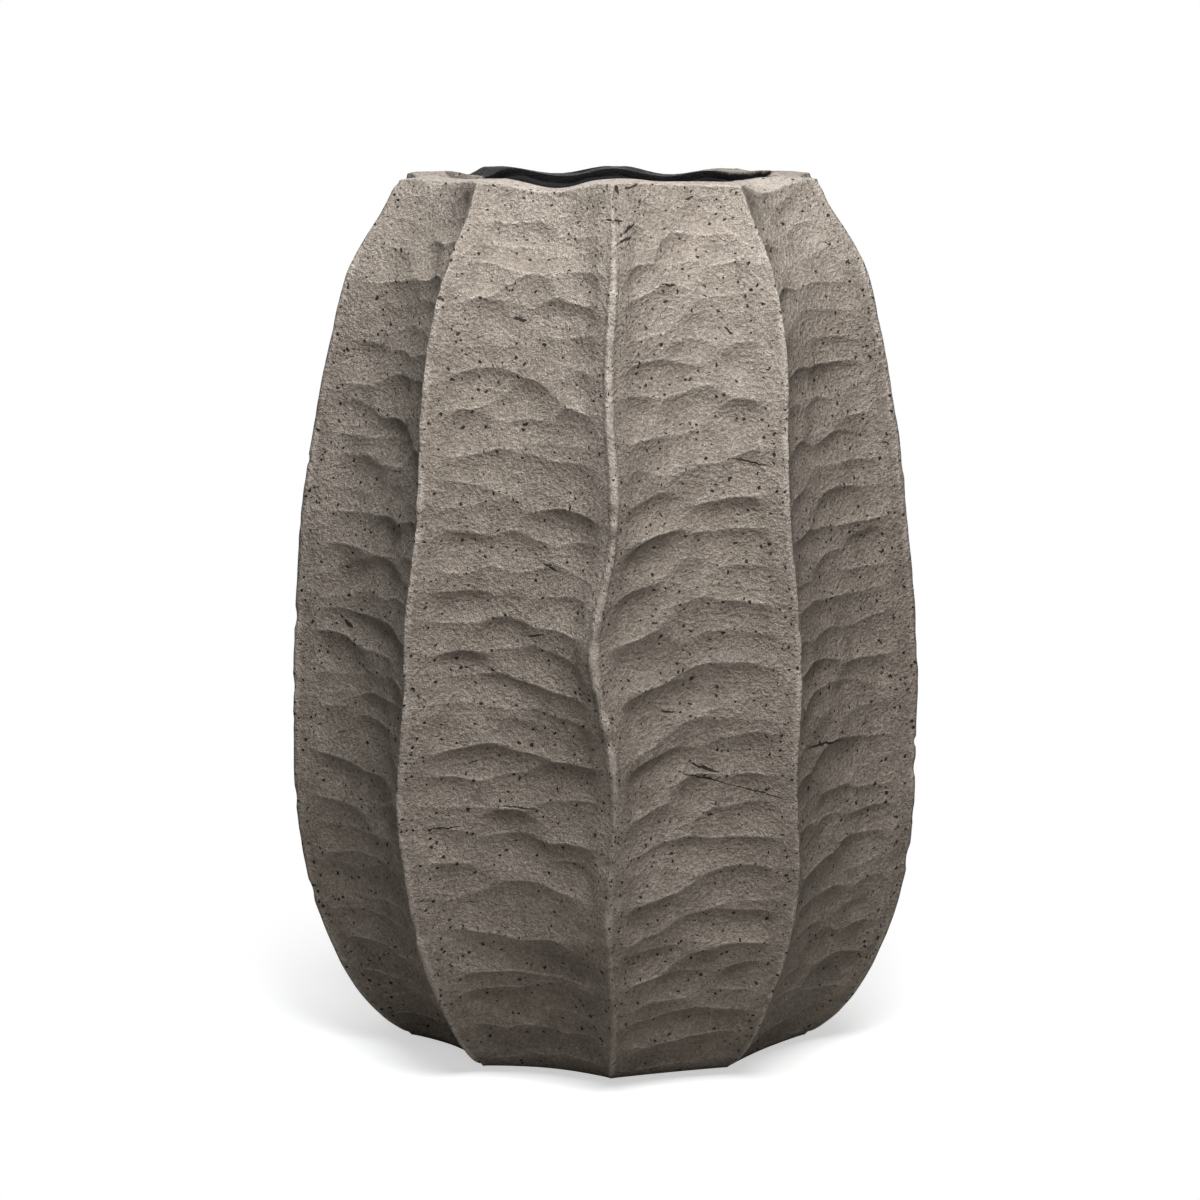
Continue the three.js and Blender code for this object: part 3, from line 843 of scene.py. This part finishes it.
class FLOWERPOT_OT_sealing_coat(bpy.types.Operator):
    """Lines the inner wall and the floor with the black sealing coat"""

    bl_idname = "flower_pot.sealing_coat"
    bl_label = "Brush sealing coat"

    def execute(self, context):
        shape = context.scene.flower_pot_shape
        outline = ridge_outline(shape)
        ridge, share = flute_columns(COAT_COLUMNS, 0.0)
        azimuth = (ridge + share) * FLUTE_ANGLE
        ring = np.ones(len(azimuth))
        often, seldom = BRUSH_WAVES
        ragged = BRUSH_MARKS * (1 + np.sin(often * azimuth + 1) * np.sin(seldom * azimuth))
        edge = LIP - shape.coat_below_lip - coat_edge(azimuth) - ragged
        down = np.linspace(0, 1, COAT_ROWS)[:, None] ** COAT_CROWDING
        heights = edge * (1 - down) + (shape.floor + shape.floor_corner) * down
        radius, flute = inner_wall(shape, outline, heights)
        turn = quarter_turn(CORNER_ROWS)[:, None] * ring
        corner = np.stack(floor_rounding(shape, radius[-1], flute[-1], turn))
        inside = np.concatenate([np.stack([radius, heights, flute]), corner], axis=1)
        radius, heights, flute = inside
        outwards = np.gradient(radius, axis=0)
        upwards = np.gradient(heights, axis=0)
        steep = np.hypot(outwards, upwards)
        inwards, upwards = upwards / steep, -outwards / steep
        inwards[-1], upwards[-1] = 0, 1

        def skin(distance):
            return np.stack([radius + inwards * distance, heights + upwards * distance, flute])

        hole = shape.drain_radius + COAT_HOLE_GAP
        floor = shape.floor + shape.coat_gap
        rim = np.array([(hole, floor + shape.coat, 0), (hole, floor, 0)]).T[:, :, None] * ring
        outer = skin(shape.coat_gap)[:, ::-1]
        stations = np.concatenate([outer, skin(shape.coat_gap + shape.coat), rim], axis=1)
        hand = np.ones((stations.shape[1], 1))
        hand[-rim.shape[1]:] = 0
        places = hand_cut(shape, *stations, hand, 1, ridge, share)
        bm = turned(stations[:2, :, 0].T, len(share), True)
        move_verts(bm, places)
        material = coat_material(context.scene.flower_pot_finish)
        finished("brushed_sealing_coat", bm, material, "sealing_coat", "pot")
        return {"FINISHED"}


def soften(bm, size):
    """Rounds every sharp edge of a turned piece."""
    bmesh.ops.remove_doubles(bm, verts=bm.verts, dist=MERGE_DISTANCE)
    sharp = [edge for edge in bm.edges if edge.is_manifold and edge.calc_face_angle() > SHARP_BEND]
    bmesh.ops.bevel(
        bm, geom=sharp, offset=size, segments=3, profile=0.5, affect="EDGES", material=-1)


def from_corner(radius, height, steps):
    """Points of a profile that lie outwards and upwards of a corner by the given steps."""
    return [(radius + outwards, height + upwards) for outwards, upwards in steps]


class FLOWERPOT_OT_drain_stopper(bpy.types.Operator):
    """Moulds the stopper of the drain hole"""

    bl_idname = "flower_pot.drain_stopper"
    bl_label = "Mould drain stopper"

    def execute(self, context):
        shape = context.scene.flower_pot_shape
        rubber = context.scene.flower_pot_rubber
        low, high = STOPPER_LOW.z, STOPPER_HIGH.z
        flange = STOPPER_HIGH.x
        floor = FOOT + shape.floor
        plug_top = floor + shape.coat_gap + shape.coat + rubber.gap
        neck = shape.drain_radius - rubber.gap
        tip = neck - shape.drain_taper * (floor - low) / (shape.floor - shape.recess_depth)
        flange_top = plug_top + rubber.flange
        knob_foot = flange_top + rubber.stem_height
        curve = [
            (0, low),
            (tip, low),
            (neck, floor),
            (neck, plug_top),
            (flange, plug_top),
            (flange, flange_top - rubber.flange_bevel),
            (flange - rubber.flange_bevel, flange_top),
            *from_corner(rubber.stem, flange_top, STEM_FILLET),
            (rubber.stem, knob_foot),
            *from_corner(rubber.knob, knob_foot, KNOB_BELOW),
            *from_corner(rubber.knob, high, KNOB_ABOVE),
            (0, high - KNOB_HOLLOW),
        ]
        bm = turned(curve, ROUND_STEPS, False)
        soften(bm, rubber.rounding)
        for vert in bm.verts:
            if vert.co.z > knob_foot + GRIP_START:
                turn = math.atan2(vert.co.y, vert.co.x)
                vert.co.xy *= 1 - GRIP_DEPTH * (1 + math.cos(GRIPS * turn))
        material = rubber_material("stopper_rubber", context.scene.flower_pot_finish.stopper)
        finished(
            "moulded_drain_stopper", bm, material, "drain_stopper", "stopper")
        return {"FINISHED"}


class FLOWERPOT_OT_foot_pads(bpy.types.Operator):
    """Cuts the soft pads under the foot"""

    bl_idname = "flower_pot.foot_pads"
    bl_label = "Cut foot pads"

    def execute(self, context):
        rubber = context.scene.flower_pot_rubber
        bevel = rubber.pad_bevel
        material = rubber_material("pad_rubber", context.scene.flower_pot_finish.pad)
        for node in PADS:
            low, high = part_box(node)
            middle = (low + high) / 2
            radius = (high.x - low.x) / 2
            curve = [
                (0, low.z),
                (radius - bevel, low.z),
                (radius, low.z + bevel),
                (radius, high.z),
                (0, high.z),
            ]
            bm = turned(curve, ROUND_STEPS, False)
            soften(bm, rubber.pad_rounding)
            bmesh.ops.translate(bm, verts=bm.verts, vec=(middle.x, middle.y, 0))
            finished(f"soft_{node}", bm, material, node, "pot")
        return {"FINISHED"}


class NodeBoard:
    """Adds nodes to one tree and links them in one call."""

    def __init__(self, tree):
        self.tree = tree

    def add(self, kind, inputs=None, **settings):
        node = self.tree.nodes.new(kind)
        for name, value in settings.items():
            setattr(node, name, value)
        for name, value in (inputs or {}).items():
            if isinstance(value, bpy.types.NodeSocket):
                self.tree.links.new(value, node.inputs[name])
            else:
                node.inputs[name].default_value = value
        return node

    def math(self, operation, *values):
        return self.add("ShaderNodeMath", dict(enumerate(values)), operation=operation).outputs[0]

    def vector(self, operation, *values):
        node = self.add("ShaderNodeVectorMath", dict(enumerate(values)), operation=operation)
        return node.outputs["Value" if operation in ("DOT_PRODUCT", "LENGTH") else "Vector"]

    def blend(self, share, first, second):
        node = self.add("ShaderNodeMix", {0: share, 6: first, 7: second}, data_type="RGBA")
        return node.outputs[2]

    def ramp(self, value, low, high):
        """0 below low, 1 above high, smooth between."""
        inputs = {"Value": value, "From Min": low, "From Max": high}
        return self.add("ShaderNodeMapRange", inputs, interpolation_type="SMOOTHSTEP").outputs[0]

    def scaled(self, value, by, plus=None):
        """A value times another, on top of a third."""
        if plus is None:
            return self.math("MULTIPLY", value, by)
        return self.math("MULTIPLY_ADD", value, by, plus)

    def swing(self, value, by, plus):
        """A value that varies round one half, as far as by says, on top of plus."""
        return self.scaled(self.math("SUBTRACT", value, 0.5), by, plus)

    def inverse(self, share):
        return self.math("SUBTRACT", 1.0, share)

    def noise(self, place, scale, detail, roughness=0.5, output="Fac"):
        inputs = {"Vector": place, "Scale": scale, "Detail": detail, "Roughness": roughness}
        return self.add("ShaderNodeTexNoise", inputs).outputs[output]

    def place(self):
        return self.add("ShaderNodeTexCoord").outputs["Object"]

    def painted(self, name):
        return self.add("ShaderNodeAttribute", attribute_name=name).outputs["Fac"]

    def placed(self, make, place, **values):
        """The outputs of a shared node group, which is made when it is first placed."""
        tree = bpy.data.node_groups.get(make.__name__) or make()
        return self.add("ShaderNodeGroup", {"Vector": place, **values}, node_tree=tree).outputs

    def seen_by_eye(self):
        """1 for rays that come straight from the camera."""
        return self.add("ShaderNodeLightPath").outputs["Is Camera Ray"]

    def mix_shaders(self, share, first, second):
        inputs = {0: share, 1: first.outputs[0], 2: second.outputs[0]}
        return self.add("ShaderNodeMixShader", inputs)

    def close(self, shader):
        self.add("ShaderNodeOutputMaterial", {"Surface": shader.outputs[0]})

    def surface(self, base, rough, height, distance=0.001, shine=0.5):
        """Closes a material with one shader, whose bumps are as high as distance says."""
        bump = self.add("ShaderNodeBump", {"Height": height, "Strength": 1.0, "Distance": distance})
        self.close(self.add("ShaderNodeBsdfPrincipled", {
            "Base Color": base,
            "Roughness": rough,
            "Specular IOR Level": shine,
            "Normal": bump.outputs[0],
        }))


def new_group(name, inputs, outputs):
    """An empty node group that takes a place and values and puts out values."""
    tree = bpy.data.node_groups.new(name, "ShaderNodeTree")
    tree.interface.new_socket(name="Vector", in_out="INPUT", socket_type="NodeSocketVector")
    for label in inputs:
        tree.interface.new_socket(name=label, in_out="INPUT", socket_type="NodeSocketFloat")
    for label in outputs:
        tree.interface.new_socket(name=label, in_out="OUTPUT", socket_type="NodeSocketFloat")
    board = NodeBoard(tree)
    return board, board.add("NodeGroupInput").outputs, board.add("NodeGroupOutput").inputs


def sandy_grain():
    """Fine sandy grain: a tone and a height, both from 0 to 1."""
    board, given, made = new_group("sandy_grain", ("Scale",), ("Tone", "Height"))
    coarse = board.noise(given["Vector"], given["Scale"], detail=3.0, roughness=0.7)
    finer = board.scaled(given["Scale"], by=2.7)
    fine = board.noise(given["Vector"], finer, detail=2.0)
    both = board.scaled(fine, by=0.5, plus=board.scaled(coarse, by=0.5))
    board.tree.links.new(both, made["Tone"])
    board.tree.links.new(coarse, made["Height"])
    return board.tree


def pinholes():
    """Round holes scattered over a surface: 1 inside a hole, 0 outside."""
    board, given, made = new_group("pinholes", ("Scale", "Share", "Size"), ("Mask",))
    out_of_round = (0.0024, 0.0024, 0.0024)
    wander = board.noise(given["Vector"], scale=420.0, detail=1.0, output="Color")
    bent = board.vector("MULTIPLY_ADD", wander, out_of_round, given["Vector"])
    cells = board.add("ShaderNodeTexVoronoi", {"Vector": bent, "Scale": given["Scale"]}).outputs
    pick = board.add("ShaderNodeSeparateColor", {"Color": cells["Color"]}).outputs
    kept = board.math("LESS_THAN", pick[0], given["Share"])
    mostly_small = board.math("MULTIPLY", pick[1], pick[1])
    size = board.scaled(given["Size"], by=board.scaled(mostly_small, by=0.9, plus=0.4))
    inner = board.scaled(size, by=0.7)
    hole = board.inverse(board.ramp(cells["Distance"], low=inner, high=size))
    board.tree.links.new(board.scaled(hole, by=kept), made["Mask"])
    return board.tree


def drag_marks():
    """Short straight cracks and drag marks, most of them nearly level: 1 in a mark, 0 outside."""
    board, given, made = new_group(
        "drag_marks", ("Scale", "Length", "Width", "Share"), ("Mask",))
    place = given["Vector"]
    cells = board.add("ShaderNodeTexVoronoi", {"Vector": place, "Scale": given["Scale"]}).outputs
    pick = board.add("ShaderNodeSeparateColor", {"Color": cells["Color"]}).outputs
    local = board.vector("SUBTRACT", place, cells["Position"])
    tilt = board.math("SUBTRACT", pick[1], 0.5)
    tilt_back = board.scaled(tilt, by=0.6)
    across = board.add("ShaderNodeCombineXYZ", {"X": tilt, "Y": tilt_back, "Z": 1.0}).outputs[0]
    shake = board.noise(place, scale=160.0, detail=1.0)
    level = board.swing(shake, by=0.0010, plus=board.vector("DOT_PRODUCT", local, across))
    reach = board.scaled(given["Length"], by=board.scaled(pick[2], by=0.9, plus=0.3))
    half_way = board.scaled(reach, by=0.5)
    taper = board.inverse(board.ramp(board.vector("LENGTH", local), low=half_way, high=reach))
    width = board.scaled(given["Width"], by=taper)
    line = board.math("LESS_THAN", board.math("ABSOLUTE", level), width)
    kept = board.math("LESS_THAN", pick[0], given["Share"])
    board.tree.links.new(board.scaled(line, by=kept), made["Mask"])
    return board.tree


def front_cracks():
    """The listed cracks of the front: 1 in a crack, 0 outside."""
    board, given, made = new_group("front_cracks", (), ("Mask",))
    place = given["Vector"]
    crooked = 0.0020
    through = 100
    out_of_reach = 2.0
    shake = board.noise(place, scale=420.0, detail=2.0, output="Color")
    shaken = board.vector("MULTIPLY_ADD", shake, (crooked, 0.0, crooked), place)
    nearest = out_of_reach
    for side, height, long, wide, slope in CRACKS:
        local = board.add("ShaderNodeMapping", {
            "Vector": shaken,
            "Location": (side + crooked / 2, 0, height + crooked / 2),
            "Rotation": (0, -math.radians(slope), 0),
            "Scale": (long / 2, through, wide / 2),
        }, vector_type="TEXTURE").outputs[0]
        nearest = board.math("MINIMUM", board.vector("LENGTH", local), nearest)
    gaping = board.inverse(board.ramp(nearest, low=0.7, high=1.1))
    depth = board.add("ShaderNodeSeparateXYZ", {"Vector": place}).outputs["Y"]
    in_front = board.math("LESS_THAN", depth, 0.0)
    board.tree.links.new(board.scaled(gaping, by=in_front), made["Mask"])
    return board.tree


def new_material(name):
    material = bpy.data.materials.new(name)
    material.use_nodes = True
    material.node_tree.nodes.clear()
    return material, NodeBoard(material.node_tree)


def clay_material(finish):
    """Fired grogged clay: sandy, pitted, paler on worn ridges and lip, with painted highlight on the
    crests of the cuts and painted shade in their hollows.
    """
    material, board = new_material("fired_clay")
    place = board.place()
    patches = board.noise(place, scale=16.0, detail=3.0)
    mottle = board.noise(place, scale=130.0, detail=4.0)
    grain = board.placed(sandy_grain, place, Scale=640.0)
    tone = board.swing(patches, by=0.34, plus=0.5)
    tone = board.swing(mottle, by=0.45, plus=tone)
    tone = board.swing(grain["Tone"], by=2.2, plus=tone)
    # Wear, and painted highlight on the cuts' crests and painted shade in their hollows, push the
    # tone towards the paler or the darker clay
    tone = board.scaled(board.painted("edge_wear"), by=0.36, plus=tone)
    ramp = board.add("ShaderNodeValToRGB", {"Fac": tone})
    deep, pale = ramp.color_ramp.elements
    deep.position = 0.1
    deep.color = (*finish.clay_deep, 1)
    pale.position = 0.98
    pale.color = (*finish.clay_pale, 1)
    ramp.color_ramp.elements.new(0.5).color = (*finish.clay, 1)
    share = board.scaled(board.painted("ridge_strip"), by=0.4, plus=0.58)
    pores = board.placed(pinholes, place, Scale=400.0, Share=share, Size=0.265)["Mask"]
    for openings in (
        board.placed(pinholes, place, Scale=110.0, Share=0.3, Size=0.07),
        board.placed(drag_marks, place, Scale=36.0, Length=0.005, Width=0.00045, Share=0.1),
        board.placed(front_cracks, place),
    ):
        pores = board.math("MAXIMUM", pores, openings["Mask"])
    base = board.blend(board.scaled(pores, by=0.9), ramp.outputs["Color"], (*finish.pit, 1))
    brush = board.noise(place, scale=260.0, detail=3.0)
    brushed = board.swing(brush, by=0.6, plus=board.painted("coat_stain"))
    stained = board.ramp(brushed, low=0.3, high=0.75)
    base = board.blend(stained, base, (*finish.coat, 1))
    height = board.scaled(mottle, by=1.6)
    height = board.scaled(grain["Height"], by=2.4, plus=height)
    height = board.scaled(pores, by=-2.6, plus=height)
    rough = board.scaled(stained, by=-0.25, plus=0.95)
    board.surface(base, rough, height, shine=0.1)
    return material


def coat_material(finish):
    """Black sealing coat with brush streaks and thin places."""
    material, board = new_material("black_coat")
    place = board.place()
    along = board.add("ShaderNodeMapping", {"Vector": place, "Scale": (1.0, 1.0, 0.12)}).outputs[0]
    streaks = board.noise(along, scale=160.0, detail=4.0)
    patches = board.noise(place, scale=30.0, detail=3.0)
    thin = board.ramp(board.scaled(streaks, by=patches), low=0.24, high=0.36)
    base = board.blend(thin, (*finish.coat, 1), (*finish.coat_worn, 1))
    rough = board.scaled(streaks, by=0.3, plus=0.55)
    height = board.scaled(streaks, by=0.35, plus=board.scaled(patches, by=0.3))
    board.surface(base, rough, height, shine=0.15)
    return material


def rubber_material(name, base):
    """Dull moulded rubber with a faint bloom."""
    material, board = new_material(name)
    place = board.place()
    bloom = board.noise(place, scale=120.0, detail=4.0)
    grain = board.placed(sandy_grain, place, Scale=1500.0)
    lighter = tuple(min(1.0, BLOOM_GAIN * part + BLOOM_LIFT) for part in base)
    bloomed = board.blend(board.ramp(bloom, low=0.4, high=0.8), (*base, 1), (*lighter, 1))
    rough = board.scaled(bloom, by=0.2, plus=0.6)
    board.surface(bloomed, rough, grain["Height"], distance=0.00015)
    return material


def floor_material(finish):
    """Pale floor that keeps the shadow near the pot and goes over into white further off."""
    material, board = new_material("pale_floor")
    away = board.vector("LENGTH", board.place())
    lit = board.add("ShaderNodeBsdfDiffuse", {"Color": (*finish.floor, 1)})
    glow = board.add("ShaderNodeEmission", {"Color": WHITE, "Strength": finish.floor_glow})
    near = board.add("ShaderNodeAddShader", {0: lit.outputs[0], 1: glow.outputs[0]})
    white = board.add("ShaderNodeEmission", {"Color": WHITE, "Strength": 1.0})
    shown = board.mix_shaders(board.ramp(away, *FLOOR_WHITENS), near, white)
    dim = board.add("ShaderNodeBsdfDiffuse", {"Color": (*finish.floor_dim, 1)})
    board.close(board.mix_shaders(board.seen_by_eye(), dim, shown))
    return material


def add_lamp(name, stage):
    place, size, tint = LAMPS[name]
    lamp = bpy.data.lights.new(name, "AREA")
    lamp.shape = "SQUARE"
    lamp.size = size
    lamp.energy = getattr(stage, f"{name}_power")
    lamp.color = tint
    holder = bpy.data.objects.new(name, lamp)
    holder.location = place
    towards = Vector(LAMP_AIM) - Vector(place)
    holder.rotation_euler = towards.to_track_quat("-Z", "Y").to_euler()
    bpy.context.scene.collection.objects.link(holder)


class FLOWERPOT_OT_stage(bpy.types.Operator):
    """Sets the pale floor, the soft lamps and the camera"""

    bl_idname = "flower_pot.stage"
    bl_label = "Set stage"

    def execute(self, context):
        scene = context.scene
        stage = scene.flower_pot_stage
        scene.view_settings.view_transform = "Standard"
        bm = bmesh.new()
        bmesh.ops.create_grid(
            bm, x_segments=FLOOR_STEPS, y_segments=FLOOR_STEPS, size=FLOOR_REACH)
        mesh = bpy.data.meshes.new("studio_floor")
        bm.to_mesh(mesh)
        bm.free()
        mesh.materials.append(floor_material(scene.flower_pot_finish))
        floor = bpy.data.objects.new("studio_floor", mesh)
        scene.collection.objects.link(floor)
        world = bpy.data.worlds.new("studio")
        world.use_nodes = True
        world.node_tree.nodes.clear()
        board = NodeBoard(world.node_tree)
        even = board.add("ShaderNodeBackground", {"Color": WHITE, "Strength": stage.surround})
        white = board.add("ShaderNodeBackground", {"Color": WHITE, "Strength": 1.0})
        both = board.mix_shaders(board.seen_by_eye(), even, white)
        board.add("ShaderNodeOutputWorld", {"Surface": both.outputs[0]})
        scene.world = world
        for name in LAMPS:
            add_lamp(name, stage)
        camera = bpy.data.cameras.new("camera")
        camera.lens = stage.camera_lens
        holder = bpy.data.objects.new("camera", camera)
        height = FOOT + stage.camera_height
        holder.location = (stage.camera_side, -stage.camera_distance, height)
        holder.rotation_euler = (math.pi / 2 - stage.camera_tilt, 0, 0)
        scene.collection.objects.link(holder)
        scene.camera = holder
        return {"FINISHED"}


OPERATORS = (
    FLOWERPOT_OT_clay_body,
    FLOWERPOT_OT_sealing_coat,
    FLOWERPOT_OT_drain_stopper,
    FLOWERPOT_OT_foot_pads,
    FLOWERPOT_OT_stage,
)
SETTINGS = {
    "flower_pot_shape": PotShape,
    "flower_pot_carving": PotCarving,
    "flower_pot_rubber": PotRubber,
    "flower_pot_finish": PotFinish,
    "flower_pot_stage": PotStage,
}


class FLOWERPOT_PT_sidebar(bpy.types.Panel):
    """Lists the pot's steps and sizes"""

    bl_idname = "FLOWERPOT_PT_sidebar"
    bl_label = "Flower pot"
    bl_space_type = "VIEW_3D"
    bl_region_type = "UI"
    bl_category = "Flower pot"

    def draw(self, context):
        for operator in OPERATORS:
            self.layout.operator(operator.bl_idname)
        for attribute, group in SETTINGS.items():
            box = self.layout.box()
            for name in group.__annotations__:
                box.prop(getattr(context.scene, attribute), name)


def register():
    for kind in (*SETTINGS.values(), *OPERATORS, FLOWERPOT_PT_sidebar):
        bpy.utils.register_class(kind)
    for attribute, group in SETTINGS.items():
        setattr(bpy.types.Scene, attribute, PointerProperty(type=group))


def unregister():
    for attribute in SETTINGS:
        delattr(bpy.types.Scene, attribute)
    for kind in (FLOWERPOT_PT_sidebar, *reversed(OPERATORS), *SETTINGS.values()):
        bpy.utils.unregister_class(kind)


def main():
    register()
    bpy.ops.flower_pot.clay_body()
    bpy.ops.flower_pot.sealing_coat()
    bpy.ops.flower_pot.drain_stopper()
    bpy.ops.flower_pot.foot_pads()
    bpy.ops.flower_pot.stage()


if __name__ == "__main__":
    main()
